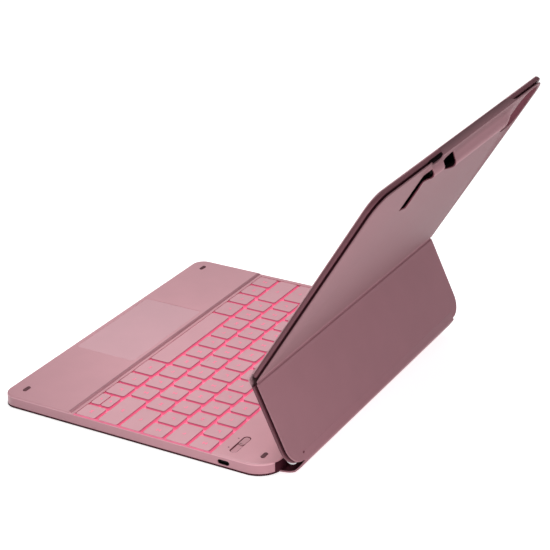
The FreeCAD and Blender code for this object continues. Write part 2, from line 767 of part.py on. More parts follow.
def make_fold_lining():
    """The lining that rounds the front of the fold, from the flap to the panel."""
    outer = cover_half
    inner = outer - 0.6
    turn = flap_angle - panel_angle
    half = half_width - 2
    corners = [Vector(x, 0, z) for x, z in ((-half, inner), (half, inner), (half, outer), (-half, outer))]
    face = Part.Face(Part.makePolygon(corners + corners[:1]))
    wedge = face.revolve(Vector(0, 0, 0), Vector(1, 0, 0), -turn)
    group("fold_lining", [wedge], flap_frame)


make_deck_frame()
make_base_plates()
make_trackpad()
make_base_fittings()
make_keys()
make_barrel_hinge()
make_spine_skin()
make_flap()
make_panel()
make_pencil_sleeve()
make_fold_hinges()
make_fold_lining()

# ---------------------------------------------------------------- check and write
doc.recompute()
for item in doc.Objects:
    if "Invalid" in item.State or "Error" in item.State:
        raise RuntimeError(f"{item.Label} did not recompute: {item.State}")
os.makedirs("parts", exist_ok=True)
for item in parts:
    if item.Shape.isNull() or not item.Shape.isValid():
        raise RuntimeError(f"{item.Label} has no valid shape")
    item.Shape.exportStep(f"parts/{item.Label}.step")
print(f"{len(parts)} sub-parts written, fold axis at {fold_axis}")
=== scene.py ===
import json
import math

import bmesh
import bpy
from mathutils import Matrix, Vector
from mathutils.geometry import delaunay_2d_cdt


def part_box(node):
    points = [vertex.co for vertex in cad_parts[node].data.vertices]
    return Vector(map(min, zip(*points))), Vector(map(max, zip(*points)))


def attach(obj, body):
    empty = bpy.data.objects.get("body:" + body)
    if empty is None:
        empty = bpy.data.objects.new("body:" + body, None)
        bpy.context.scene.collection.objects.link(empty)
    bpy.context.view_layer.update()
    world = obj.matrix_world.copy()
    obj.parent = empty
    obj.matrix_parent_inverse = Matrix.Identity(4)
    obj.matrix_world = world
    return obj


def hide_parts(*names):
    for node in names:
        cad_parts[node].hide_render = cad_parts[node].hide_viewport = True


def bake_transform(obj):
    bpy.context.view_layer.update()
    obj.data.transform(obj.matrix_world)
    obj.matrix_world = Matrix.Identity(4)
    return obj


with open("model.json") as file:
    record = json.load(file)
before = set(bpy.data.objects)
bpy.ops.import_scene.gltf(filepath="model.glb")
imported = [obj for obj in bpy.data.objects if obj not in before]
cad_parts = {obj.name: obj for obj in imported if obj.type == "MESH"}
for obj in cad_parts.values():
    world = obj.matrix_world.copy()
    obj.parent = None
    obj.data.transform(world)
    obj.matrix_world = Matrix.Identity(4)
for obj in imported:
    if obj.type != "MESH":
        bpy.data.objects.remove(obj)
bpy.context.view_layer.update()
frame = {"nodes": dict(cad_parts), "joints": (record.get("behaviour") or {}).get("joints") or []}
MM = 0.001

# ------------------------------------------------------------------ frames, in millimetres
joints = {joint["name"]: joint for joint in frame["joints"]}
fold = Vector(joints["fold_hinge"]["pos_m"]) / MM
FLAP_ANGLE = math.radians(116.0)
PANEL_ANGLE = math.radians(59.3)
PANEL_TURN = Matrix.Rotation(PANEL_ANGLE, 4, "X")
BASE = Matrix.Identity(4)
FLAP = Matrix.Translation(fold) @ Matrix.Rotation(FLAP_ANGLE, 4, "X")
PANEL = Matrix.Translation(fold) @ PANEL_TURN
HALF = 141.5              # half the cover's width
CORE_HALF = 139.4         # half the width of its dark core, which shows as a groove
BACK = -3.2               # the cover's back face, from the fold's axis
FLAP_TIP = -66.3          # the flap's far edge, along the flap from the fold
PANEL_TIP = 170.3         # the panel's top edge, along the panel from the fold
WELL_HALF = 139.2         # half the key well's width
LEDGE_TOP = 8.42          # the ledges round the keys
FRONT_CORNER = 10.5       # the base's corners, seen from above
REAR_CORNER = 19.0


def srgb(r, g, b):
    """A linear colour from 0 to 255 screen values."""
    out = []
    for value in (r, g, b):
        c = value / 255
        out.append(c / 12.92 if c <= 0.04045 else ((c + 0.055) / 1.055) ** 2.4)
    return (*out, 1.0)


# ------------------------------------------------------------------ materials
def material(name, colour, rough=0.5, vary=0.06, grain=1800.0, bump=0.12, metallic=0.0, specular=0.5,
             coat=0.0, sheen=0.0, blotch=45.0, glow=None, glow_strength=0.0):
    """A principled surface with a mottled colour, a worn gloss and a fine grain."""
    mat = bpy.data.materials.new(name)
    mat.use_nodes = True
    nodes, links = mat.node_tree.nodes, mat.node_tree.links
    shader = nodes["Principled BSDF"]
    shader.inputs["Metallic"].default_value = metallic
    shader.inputs["Specular IOR Level"].default_value = specular
    shader.inputs["Coat Weight"].default_value = coat
    shader.inputs["Coat Roughness"].default_value = 0.25
    shader.inputs["Sheen Weight"].default_value = sheen
    place = nodes.new("ShaderNodeTexCoord")
    wide = nodes.new("ShaderNodeTexNoise")
    wide.inputs["Scale"].default_value = blotch
    wide.inputs["Detail"].default_value = 4.0
    links.new(place.outputs["Object"], wide.inputs["Vector"])
    tone = nodes.new("ShaderNodeValToRGB")
    tone.color_ramp.elements[0].position = 0.3
    tone.color_ramp.elements[1].position = 0.7
    tone.color_ramp.elements[0].color = (*[c * (1 - vary) for c in colour[:3]], 1)
    tone.color_ramp.elements[1].color = (*[min(1, c * (1 + vary)) for c in colour[:3]], 1)
    links.new(wide.outputs["Fac"], tone.inputs["Fac"])
    links.new(tone.outputs["Color"], shader.inputs["Base Color"])
    gloss = nodes.new("ShaderNodeMapRange")
    gloss.inputs["To Min"].default_value = max(0.02, rough - 0.05)
    gloss.inputs["To Max"].default_value = min(1.0, rough + 0.05)
    links.new(wide.outputs["Fac"], gloss.inputs["Value"])
    links.new(gloss.outputs["Result"], shader.inputs["Roughness"])
    fine = nodes.new("ShaderNodeTexNoise")
    fine.inputs["Scale"].default_value = grain
    fine.inputs["Detail"].default_value = 3.0
    links.new(place.outputs["Object"], fine.inputs["Vector"])
    relief = nodes.new("ShaderNodeBump")
    relief.inputs["Strength"].default_value = bump
    relief.inputs["Distance"].default_value = 0.0002
    links.new(fine.outputs["Fac"], relief.inputs["Height"])
    links.new(relief.outputs["Normal"], shader.inputs["Normal"])
    if glow is not None:
        shader.inputs["Emission Color"].default_value = glow
        shader.inputs["Emission Strength"].default_value = glow_strength
    return mat


def glowing_sides(name, colour, rim, glow):
    """Keycap plastic: pale on top, painted shade in the dark rim colour on the sides below the edge, and a painted glow
    further down as if lit from below.
    """
    mat = material(name, colour, rough=0.42, vary=0.03, grain=2600, bump=0.08)
    nodes, links = mat.node_tree.nodes, mat.node_tree.links
    shader = nodes["Principled BSDF"]
    tone = shader.inputs["Base Color"].links[0].from_socket
    place = nodes.new("ShaderNodeTexCoord")
    split = nodes.new("ShaderNodeSeparateXYZ")
    links.new(place.outputs["Object"], split.inputs["Vector"])

    def by_height(low, high, start, end):
        fall = nodes.new("ShaderNodeMapRange")
        fall.inputs["From Min"].default_value = low
        fall.inputs["From Max"].default_value = high
        fall.inputs["To Min"].default_value = start
        fall.inputs["To Max"].default_value = end
        links.new(split.outputs["Z"], fall.inputs["Value"])
        return fall.outputs["Result"]
    mix = nodes.new("ShaderNodeMix")
    mix.data_type = "RGBA"
    mix.inputs["A"].default_value = rim
    # Painted shade: below 8.56 mm the caps take the dark rim colour, and above 8.64 mm their pale tone.
    links.new(by_height(0.00856, 0.00864, 0.0, 1.0), mix.inputs["Factor"])
    links.new(tone, mix.inputs["B"])
    links.new(mix.outputs["Result"], shader.inputs["Base Color"])
    # Painted light: the caps glow in the backlight colour, strongest on the sides below 8.0 mm and weaker from 8.3 mm
    # up.
    links.new(by_height(0.0080, 0.0083, 0.55, 0.1), shader.inputs["Emission Strength"])
    shader.inputs["Emission Color"].default_value = glow
    return mat


def tinted(mat, tint, start, end, axis=(0.0, 0.0, 1.0)):
    """Multiplies a surface's colour by a tint that fades out between two distances along an axis."""
    nodes, links = mat.node_tree.nodes, mat.node_tree.links
    shader = nodes["Principled BSDF"]
    tone = shader.inputs["Base Color"].links[0].from_socket
    place = nodes.new("ShaderNodeTexCoord")
    reach = nodes.new("ShaderNodeVectorMath")
    reach.operation = "DOT_PRODUCT"
    reach.inputs[1].default_value = axis
    links.new(place.outputs["Object"], reach.inputs[0])
    fade = nodes.new("ShaderNodeMapRange")
    fade.inputs["From Min"].default_value = start
    fade.inputs["From Max"].default_value = end
    fade.inputs["To Min"].default_value = 1.0
    fade.inputs["To Max"].default_value = 0.0
    links.new(reach.outputs["Value"], fade.inputs["Value"])
    mix = nodes.new("ShaderNodeMix")
    mix.data_type = "RGBA"
    mix.blend_type = "MULTIPLY"
    mix.inputs["B"].default_value = (*tint, 1.0)
    links.new(fade.outputs["Result"], mix.inputs["Factor"])
    links.new(tone, mix.inputs["A"])
    links.new(mix.outputs["Result"], shader.inputs["Base Color"])


GLOW = srgb(244, 118, 155)
SHELL = material("shell_pink", srgb(215, 161, 170), rough=0.36, vary=0.025, grain=3200, bump=0.05, coat=0.15)
# Painted shade: the shell darkens below 7.8 mm high, fading out by 8.3 mm, so the side walls read as shaded.
tinted(SHELL, (0.64, 0.54, 0.57), 0.0078, 0.0083)
# Painted shade: the shell darkens towards the front-right corner, standing in for the light falling off there.
tinted(SHELL, (0.80, 0.78, 0.79), 0.185, 0.075, (0.707, -0.707, 0.0))
# SKIN and PANEL_SKIN are the same leather; each copy's tone is set for how its own part is lit: painted light and
# shade.
SKIN = material("skin_pink", srgb(147, 101, 110), rough=0.6, vary=0.03, grain=2200, bump=0.16, sheen=0.02,
                specular=0.3)
PANEL_SKIN = material("skin_pink_panel_painted_light", srgb(160, 115, 123), rough=0.62, vary=0.03, grain=2200, bump=0.16, sheen=0.02,
                      specular=0.25)
PANEL_OUT = PANEL_TURN.to_3x3() @ Vector((0.0, 0.0, -1.0))
PANEL_FACE = PANEL_OUT.dot(fold) * MM + 0.0032
# Painted highlight: the flat back is darkened, and the skin keeps its full colour where it stands off the back over the
# sleeve and strap.
tinted(PANEL_SKIN, (0.66, 0.64, 0.64), PANEL_FACE + 0.0002, PANEL_FACE + 0.0026, PANEL_OUT)
# Painted shade: the skin that turns down over the panel's edges darkens with depth below the back face.
tinted(PANEL_SKIN, (0.42, 0.38, 0.39), PANEL_FACE - 0.0056, PANEL_FACE - 0.0002, PANEL_OUT)
BOARD = material("board_pink", srgb(104, 60, 69), rough=0.6, vary=0.05, grain=1800, bump=0.2, specular=0.3)
LINING = material("lining_fabric", srgb(186, 140, 148), rough=0.85, vary=0.05, grain=1300, bump=0.45, sheen=0.3)
# The dark core's colour; also painted shade on the spine's inner side and on the base's rear wall.
DARK = material("core_dark_and_painted_shade", srgb(58, 20, 30), rough=0.8, vary=0.12, grain=1500, bump=0.3, specular=0.1)
BLACK = material("hollow_painted_shade", srgb(12, 4, 6), rough=0.9, vary=0.15, grain=1200, bump=0.3, specular=0.02)
# Dark maroon for the camera rim and the flap's stud; also painted shade on the panel skin's cut walls and round the
# switch slot.
MAROON = material("maroon_and_painted_shade", srgb(104, 56, 66), rough=0.7, vary=0.08, grain=1800, bump=0.2, specular=0.2)
# The caps' sides carry painted shade in crimson and a painted backlight glow.
KEY = glowing_sides("key_pink", srgb(204, 163, 169), srgb(138, 26, 60), GLOW)
MARK = material("key_mark", srgb(240, 110, 150), rough=0.5, vary=0.05, glow=srgb(255, 100, 145), glow_strength=0.35)
PAD = material("trackpad_pink", srgb(218, 170, 179), rough=0.3, vary=0.02, grain=3500, bump=0.03, coat=0.3)
SILVER = material("silver_satin", srgb(188, 186, 188), rough=0.32, vary=0.04, grain=2600, bump=0.08, metallic=1.0)
STEEL = material("steel_brushed", srgb(150, 150, 152), rough=0.3, vary=0.08, grain=1600, bump=0.1, metallic=1.0)
GLOW_PLATE = material("plate_glow", srgb(228, 118, 148), rough=0.5, vary=0.2, blotch=240, specular=0.1,
                      glow=GLOW, glow_strength=0.5)
# A lit copy of the shell colour: painted backlight glow.
LIT_SIDE = material("side_lit", srgb(212, 112, 138), rough=0.5, vary=0.1, blotch=160, specular=0.2, glow=GLOW,
                    glow_strength=0.22)
WHITE = material("white_film", srgb(225, 220, 220), rough=0.5, vary=0.05)
RUBBER = material("bumper_rubber", srgb(92, 52, 60), rough=0.7, vary=0.1, grain=1500, bump=0.3)
SLIDER = material("slider_pink", srgb(196, 146, 154), rough=0.4, vary=0.06, grain=2500, bump=0.1)
FOIL = material("cell_foil", srgb(110, 110, 114), rough=0.45, vary=0.15, grain=900, bump=0.3, metallic=0.6)
CIRCUIT = material("board_green", srgb(28, 84, 56), rough=0.4, vary=0.35, blotch=420, grain=700, bump=0.4)
LAMP = material("lamp_clear", srgb(120, 84, 92), rough=0.15, vary=0.1, coat=0.5)
MAGNET = material("magnet_nickel", srgb(170, 170, 174), rough=0.22, vary=0.05, metallic=1.0)
PLASTIC = material("plastic_dark", srgb(60, 34, 40), rough=0.5, vary=0.12, grain=1500, bump=0.2)
SLOPE_SHADE = material("slope_painted_shade", srgb(168, 118, 127), rough=0.5, vary=0.05, grain=3200, bump=0.05)
SLOT_FLOOR = material("slot_pink", srgb(206, 150, 160), rough=0.5, vary=0.06, grain=2500, bump=0.1)
SOCKET = material("socket_black", srgb(14, 12, 13), rough=0.55, vary=0.2, grain=1500, bump=0.2, specular=0.15)


# ------------------------------------------------------------------ mesh helpers, in millimetres
def build(name, points, faces, place, mats, body, face_mats=None, bevel=0.0, smooth=38.0):
    """A mesh from millimetre points in one of the frames, ready to ride on a body."""
    mesh = bpy.data.meshes.new(name)
    mesh.from_pydata([(place @ Vector(p)) * MM for p in points], [], faces)
    mats = mats if isinstance(mats, (list, tuple)) else [mats]
    for mat in mats:
        mesh.materials.append(mat)
    if face_mats:
        mesh.polygons.foreach_set("material_index", face_mats)
    bm = bmesh.new()
    bm.from_mesh(mesh)
    bmesh.ops.remove_doubles(bm, verts=bm.verts, dist=1e-7)
    bmesh.ops.recalc_face_normals(bm, faces=bm.faces)
    if bevel:
        sharp = [e for e in bm.edges if len(e.link_faces) == 2 and e.calc_face_angle() > math.radians(40)]
        bmesh.ops.bevel(bm, geom=sharp, offset=bevel * MM, segments=2, affect="EDGES", profile=0.5,
                        clamp_overlap=True)
    bm.to_mesh(mesh)
    bm.free()
    mesh.shade_smooth()
    mesh.set_sharp_from_angle(angle=math.radians(smooth))
    piece = bpy.data.objects.new(name, mesh)
    bpy.context.scene.collection.objects.link(piece)
    if body:
        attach(piece, body)
    return piece


def rounded(x0, x1, y0, y1, r00, r10, r11, r01, steps=10):
    """A rectangle's outline as a function of how far it is drawn in; each corner has its own radius."""
    def ring(inset):
        a0, a1, b0, b1 = x0 + inset, x1 - inset, y0 + inset, y1 - inset
        out = []
        corners = [(a0, b0, r00, 180), (a1, b0, r10, 270), (a1, b1, r11, 0), (a0, b1, r01, 90)]
        for cx, cy, radius, start in corners:
            r = max(0.05, radius - inset)
            mx = cx + r if cx == a0 else cx - r
            my = cy + r if cy == b0 else cy - r
            for k in range(steps + 1):
                t = math.radians(start + 90 * k / steps)
                out.append((mx + r * math.cos(t), my + r * math.sin(t)))
        return out
    return ring


def hole(ring):
    """The same outline, growing instead of shrinking, for an opening in a layer."""
    return lambda inset: ring(-inset)


def soft_edge(low, high, r_low, r_high, steps=4, flat=0.5):
    """A slab's side from the low face to the high one, with a rounded edge at each."""
    out = [(r_low + flat, low)]
    for k in range(steps + 1):
        t = math.radians(90 * k / steps)
        out.append((r_low * (1 - math.sin(t)), low + r_low * (1 - math.cos(t))))
    for k in range(steps + 1):
        t = math.radians(90 * k / steps)
        out.append((r_high * (1 - math.cos(t)), high - r_high * (1 - math.sin(t))))
    out.append((r_high + flat, high))
    return out


def fill(loops, extra=(), inside=None):
    """Triangles that fill the first loop less the other loops, with extra points inside."""
    points, edges = [], []
    for loop in loops:
        first = len(points)
        points += [Vector(p) for p in loop]
        edges += [(first + k, first + (k + 1) % len(loop)) for k in range(len(loop))]
    points += [Vector(p) for p in extra]
    verts, _, faces, _, _, _ = delaunay_2d_cdt(points, edges, [], 1, 1e-6)

    def within(p, loop):
        odd = False
        for k in range(len(loop)):
            (xa, ya), (xb, yb) = loop[k - 1], loop[k]
            if (ya > p[1]) != (yb > p[1]) and p[0] < (xb - xa) * (p[1] - ya) / (yb - ya) + xa:
                odd = not odd
        return odd
    kept = []
    for face in faces:
        middle = sum((verts[i] for i in face), Vector((0, 0))) / len(face)
        if within(middle, loops[0]) and not any(within(middle, loop) for loop in loops[1:]):
            kept.append(face)
    return verts, kept


def layer(name, rings, profile, place, mats, body, replaces=()):
    """A flat layer between two faces: an outline, any openings, and a profile for every side."""
    points, faces = [], []
    for ring in rings:
        previous = None
        for inset, z in profile:
            loop = ring(inset)
            first = len(points)
            points += [(x, y, z) for x, y in loop]
            n = len(loop)
            if previous is not None:
                faces += [(previous + k, previous + (k + 1) % n, first + (k + 1) % n, first + k) for k in range(n)]
            previous = first
    for inset, z in (profile[0], profile[-1]):
        verts, tris = fill([ring(inset) for ring in rings])
        first = len(points)
        points += [(v.x, v.y, z) for v in verts]
        faces += [tuple(first + i for i in tri) for tri in tris]
    piece = build(name, points, faces, place, mats, body)
    if replaces:
        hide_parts(*replaces)
    return piece


def extrude(name, section, x0, x1, place, mats, body, bevel=0.25, outside=None):
    """A closed section in the YZ plane, drawn along X; faces past the outside count take the second material."""
    n = len(section)
    points = [(x, y, z) for x in (x0, x1) for y, z in section]
    faces = [(k, (k + 1) % n, n + (k + 1) % n, n + k) for k in range(n)]
    face_mats = [0 if outside is None or k < outside else 1 for k in range(n)]
    faces += [tuple(range(n)), tuple(range(n, 2 * n))[::-1]]
    return build(name, points, faces, place, mats, body, face_mats + [0, 0], bevel=bevel)


def ribbon(path, thick):
    """A closed section that follows a path on one side and stands off it on the other."""
    inner = []
    for k, (y, z) in enumerate(path):
        ya, za = path[max(0, k - 1)]
        yb, zb = path[min(len(path) - 1, k + 1)]
        length = math.hypot(yb - ya, zb - za)
        inner.append((y - (zb - za) / length * thick, z + (yb - ya) / length * thick))
    return list(path) + inner[::-1]


# ------------------------------------------------------------------ keyboard base
for node, mat in {
    "deck_frame": SHELL, "bottom_plate": SILVER, "backlight_sheet": WHITE,
    "keyboard_plate": GLOW_PLATE, "key_membrane": GLOW_PLATE, "scissor_supports": WHITE,
    "main_board": CIRCUIT, "trackpad_board": CIRCUIT, "battery_cells": FOIL, "closing_magnets": MAGNET,
    "indicator_lenses": LAMP, "switch_housing": PLASTIC, "usb_c_port": SOCKET, "hinge_brackets": STEEL,
    "hinge_pins": STEEL, "tablet_magnets": MAGNET, "fold_leaves_lower": STEEL, "fold_leaves_upper": STEEL,
    "fold_pins": STEEL,
}.items():
    piece = frame["nodes"][node]
    piece.data.materials.clear()
    piece.data.materials.append(mat)

base_low, base_high = [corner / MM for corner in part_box("deck_frame")]


def base_ring(grow):
    """The base's outline, drawn out a little."""
    return rounded(base_low.x - grow, base_high.x + grow, base_low.y - grow, base_high.y + grow,
                   FRONT_CORNER, FRONT_CORNER, REAR_CORNER, REAR_CORNER, steps=14)


layer("base_soft_skin", [base_ring(0.08)], soft_edge(0.0, 1.55, 0.35, 0.03), BASE, DARK, "base",
      ["base_skin"])
trackpad_low, trackpad_high = [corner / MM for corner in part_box("trackpad_plate")]
plate = rounded(trackpad_low.x, trackpad_high.x, trackpad_low.y, trackpad_high.y, 2.1, 2.1, 2.1, 2.1)
layer("trackpad_glass", [plate], soft_edge(trackpad_low.z, trackpad_high.z, 0.1, 0.2), BASE, PAD, "trackpad",
      ["trackpad_plate"])


# The slope in front of the keys, and the ledges round them at its foot.
ledge = [(-51.6, 7.2), (-49.3, 7.2), (-49.3, 8.3), (-49.45, LEDGE_TOP), (-51.6, LEDGE_TOP)]
extrude("well_ledge", ledge, -WELL_HALF, WELL_HALF, BASE, SHELL, "base", bevel=0.0)
# Painted shade: the slope is a strip in a darker copy of the shell colour, and it also covers a narrow band of the flat
# deck in front of it.
slope = [(-53.9, 9.3), (-52.6, 9.3), (-51.5, 8.15), (-51.4, 8.15), (-51.4, 8.47), (-52.47, 9.54), (-53.8, 9.54),
         (-53.9, 9.5)]
extrude("well_slope", slope, -139.0, 139.0, BASE, SLOPE_SHADE, "base", bevel=0.0)
layer("well_ledge_left", [rounded(-139.3, -136.8, -49.5, 66.8, 0.2, 0.2, 0.2, 0.2, steps=2)],
      soft_edge(7.2, LEDGE_TOP, 0.05, 0.12, flat=0.1), BASE, SHELL, "base")
# The right ledge takes the lit copy, a painted backlight glow; the left ledge keeps the shell colour.
layer("well_ledge_right", [rounded(138.0, 140.25, -49.5, 66.4, 0.4, 0.4, 0.4, 0.4, steps=2)],
      soft_edge(7.4, 8.5, 0.05, 0.1, flat=0.1), BASE, LIT_SIDE, "base")
seam_rings = [lambda inset: plate(inset - 0.32), lambda inset: plate(0.03 - inset)]
layer("trackpad_seam", seam_rings, [(0.0, 8.9), (0.0, 9.32)], BASE, SHELL, "base")


def pill_ring(cx, cy, long, wide):
    """A slot's outline, with round ends."""
    radius = wide / 2
    return rounded(cx - long / 2, cx + long / 2, cy - wide / 2, cy + wide / 2, radius, radius, radius, radius)


BUMPER_X, BUMPER_Y, BUMPER_LONG, BUMPER_WIDE = 126, 100.5, 7.6, 3.2
for number, (sx, sy) in enumerate(((-1, -1), (1, -1), (1, 1), (-1, 1))):
    bumper = layer(f"bumper_{number}", [pill_ring(BUMPER_X * sx, BUMPER_Y * sy, BUMPER_LONG, BUMPER_WIDE)],
                   soft_edge(9.1, 10.0, 0.05, 0.4), BASE, RUBBER, "base")
    if number == 0:
        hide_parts("lid_bumpers")


# ------------------------------------------------------------------ keys
KEY_ROWS = [
    [("left_modifier_keys", 1)] * 3 + [("left_modifier_keys", 1.25), ("space_key", 5),
                                       ("right_modifier_keys", 1.25), ("right_modifier_keys", 1),
                                       ("arrow_left_key", 1), ("arrow_pair", 1), ("arrow_right_key", 1)],
    [("left_shift_key", 2.25)] + [("bottom_letter_keys", 1)] * 10 + [("right_shift_key", 2.25)],
    [("caps_key", 1.75)] + [("home_letter_keys", 1)] * 11 + [("enter_key", 1.75)],
    [("tab_key", 1.5)] + [("top_letter_keys", 1)] * 13,
    [("number_row_keys", 1)] * 13 + [("backspace_key", 1.5)],
    [("escape_key", 1.5)] + [("function_row_keys", 1)] * 12 + [("lock_key", 1)],
]
PITCH, KEY_GAP, KEY_TOP = 19.05, 2.55, 8.8
HALF_KEY_GAP = 0.7        # between the up and down arrows
KEYS_LEFT, KEYS_FRONT = -136.6, -49.85
CAP_TALL, CAP_CORNER, CAP_WALL = 1.8, 1.9, 1.2
CAP_CEILING = 7.9         # the top of the hollow under each cap, clear of its scissor frame when pressed
DISH = 0.07


def key_shape(points, faces, face_mats, x, y, wide, deep, marks, bar=False):
    """One keycap: soft corners, a rounded rim, a slightly dished top and its glowing mark."""
    ring = rounded(x - wide / 2, x + wide / 2, y - deep / 2, y + deep / 2, *[CAP_CORNER] * 4, steps=5)
    n = len(ring(0.0))
    profile = [(0.0, KEY_TOP - CAP_TALL), (0.0, KEY_TOP - 0.45), (0.08, KEY_TOP - 0.22), (0.22, KEY_TOP - 0.08),
               (0.45, KEY_TOP - 0.01), (0.8, KEY_TOP), (1.6, KEY_TOP - 0.03)]
    previous = None
    for inset, z in profile:
        first = len(points)
        points.extend((px, py, z) for px, py in ring(inset))
        if previous is not None:
            for k in range(n):
                faces.append((previous + k, previous + (k + 1) % n, first + (k + 1) % n, first + k))
                face_mats.append(0)
        previous = first
    middle = len(points)
    points.append((x, y, KEY_TOP - DISH))
    for k in range(n):
        faces.append((previous + k, previous + (k + 1) % n, middle))
        face_mats.append(0)
    rim = range(middle - len(profile) * n, middle - len(profile) * n + n)
    for z in (profile[0][1], CAP_CEILING):
        first = len(points)
        points.extend((px, py, z) for px, py in ring(CAP_WALL))
        inner = range(first, first + n)
        for k in range(n):
            faces.append((rim[(k + 1) % n], rim[k], inner[k], inner[(k + 1) % n]))
            face_mats.append(0)
        rim = inner
    faces.append(tuple(rim)[::-1])
    face_mats.append(0)
    for mx, my, mw, md in marks:
        first = len(points)
        z = KEY_TOP + 0.005
        points.extend([(mx - mw, my - md, z), (mx + mw, my - md, z), (mx + mw, my + md, z), (mx - mw, my + md, z)])
        faces.append((first, first + 1, first + 2, first + 3))
        face_mats.append(1)
    if bar:
        first = len(points)
        z0, z1, yb = KEY_TOP - 0.05, KEY_TOP + 0.2, y - deep / 2 + 2.6
        for px, py, pz in ((-1.8, -0.25, z0), (1.8, -0.25, z0), (1.8, 0.25, z0), (-1.8, 0.25, z0),
                           (-1.7, -0.12, z1), (1.7, -0.12, z1), (1.7, 0.12, z1), (-1.7, 0.12, z1)):
            points.append((x + px, yb + py, pz))
        for quad in ((4, 5, 6, 7), (0, 1, 5, 4), (1, 2, 6, 5), (2, 3, 7, 6), (3, 0, 4, 7)):
            faces.append(tuple(first + q for q in quad))
            face_mats.append(0)


def glyph(x, y, scale, kind):
    """A small generic mark of a few strokes, in place of any lettering."""
    s, t = scale, 0.34
    return {
        0: [(x - 0.6 * s, y, t, 0.8 * s), (x + 0.25 * s, y + 0.6 * s, 0.6 * s, t)],
        1: [(x, y + 0.7 * s, 0.8 * s, t), (x, y - 0.7 * s, 0.8 * s, t), (x, y, t, 0.45 * s)],
        2: [(x - 0.7 * s, y, t, 0.7 * s), (x + 0.7 * s, y, t, 0.7 * s), (x, y, 0.45 * s, t)],
        3: [(x, y, 0.8 * s, t), (x + 0.6 * s, y - 0.65 * s, t, 0.4 * s)],
    }[kind % 4]


key_meshes = {}
count = 0
for row, keys in enumerate(KEY_ROWS):
    x = KEYS_LEFT
    y = KEYS_FRONT + PITCH * (row + 0.5)
    for index, (node, units) in enumerate(keys):
        wide, middle = units * PITCH - KEY_GAP, x + units * PITCH / 2
        deep = PITCH - KEY_GAP
        count += 1
        homing = node == "home_letter_keys" and index in (4, 7)
        if node == "arrow_pair":
            half = (deep - HALF_KEY_GAP) / 2
            for name, side in (("arrow_down_key", -1), ("arrow_up_key", 1)):
                data = key_meshes.setdefault(name, ([], [], []))
                place = y + side * (half + HALF_KEY_GAP) / 2
                key_shape(*data, middle, place, wide, half, glyph(middle, place, 1.0, side + 1))
        else:
            data = key_meshes.setdefault(node, ([], [], []))
            marks = [] if node == "space_key" else glyph(middle, y + 0.5, 1.8 if units == 1 else 1.5, count)
            key_shape(*data, middle, y, wide, deep, marks, homing)
        x += units * PITCH
for node, (points, faces, face_mats) in key_meshes.items():
    cap = build(node.replace("keys", "caps").replace("key", "cap"), points, faces, BASE, [KEY, MARK],
                node + "_body", face_mats)
    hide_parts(node)

# ------------------------------------------------------------------ power switch
slider_low, slider_high = [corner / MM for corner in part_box("power_slider")]
knob_x, knob_y = (slider_low.x + slider_high.x) / 2, (slider_low.y + slider_high.y) / 2
knob_long, slot_long, slot_wide = slider_high.x - slider_low.x, 24.2, 5.9
slot_x = slider_low.x - 0.2 + slot_long / 2
layer("switch_floor", [pill_ring(slot_x, knob_y, slot_long, slot_wide)], soft_edge(8.32, 8.5, 0.05, 0.05), BASE,
      SLOT_FLOOR, "base")
# Painted shadow: a dark maroon ring lining the slot's edge, round its floor.
layer("switch_slot_shadow", [pill_ring(slot_x, knob_y, 24.38, 6.08), hole(pill_ring(slot_x, knob_y, 23.5, 5.2))],
      [(0.0, 8.4), (0.0, 9.3), (0.1, 9.35)], BASE, MAROON, "base")
layer("switch_knob", [pill_ring(knob_x, knob_y, knob_long - 0.7, 5.0)], soft_edge(8.52, 9.3, 0.05, 0.45), BASE,
      SLIDER, "slider", ["power_slider"])
knob_end = knob_x + knob_long / 2
grip_ring = rounded(knob_end - 1.8, knob_end - 1.0, knob_y - 1.4, knob_y + 1.4, 0.3, 0.3, 0.3, 0.3, steps=3)
layer("switch_grip", [grip_ring], soft_edge(9.2, 9.55, 0.02, 0.18), BASE, SLIDER, "slider")

# ------------------------------------------------------------------ flap
FLAP_CORNER = 14.5
flap_ring = rounded(-HALF, HALF, FLAP_TIP, -2.7, FLAP_CORNER, FLAP_CORNER, 0.6, 0.6, steps=14)
layer("flap_outer_skin", [flap_ring], soft_edge(BACK, -1.75, 0.5, 0.6), FLAP, SKIN, "flap",
      ["flap_back_skin"])
core_ring = rounded(-CORE_HALF, CORE_HALF, FLAP_TIP + 1.8, -2.9, 12.7, 12.7, 0.5, 0.5, steps=14)
layer("flap_dark_core", [core_ring], soft_edge(-1.8, 0.65, 0.05, 0.05), FLAP, DARK, "flap",
      ["flap_core"])
front_ring = rounded(-HALF, HALF, FLAP_TIP, -3.6, FLAP_CORNER, FLAP_CORNER, 0.6, 0.6, steps=14)
layer("flap_front_board", [front_ring], soft_edge(0.6, 2.85, 0.6, 0.7), FLAP, BOARD, "flap",
      ["flap_board"])
inner_ring = rounded(-140.7, 140.7, -48.4, -4.3, 1.0, 1.0, 1.0, 1.0)
layer("flap_inner_lining", [inner_ring], soft_edge(2.5, 2.95, 0.05, 0.2), FLAP, LINING, "flap",
      ["flap_lining"])
layer("flap_stud", [pill_ring(124.6, -61.6, 2.4, 1.5)], soft_edge(BACK - 0.12, BACK + 0.2, 0.1, 0.05, flat=0.2),
      FLAP, MAROON, "flap")

# ------------------------------------------------------------------ panel
WINDOW = rounded(-136.0, -104.0, 128.0, 168.2, 11.5, 11.5, 11.5, 11.5, steps=10)


def smooth_step(value, low, high):
    """From 0 at the low value to 1 at the high one, level at both ends."""
    t = min(1.0, max(0.0, (value - low) / (high - low)))
    return t * t * (3 - 2 * t)


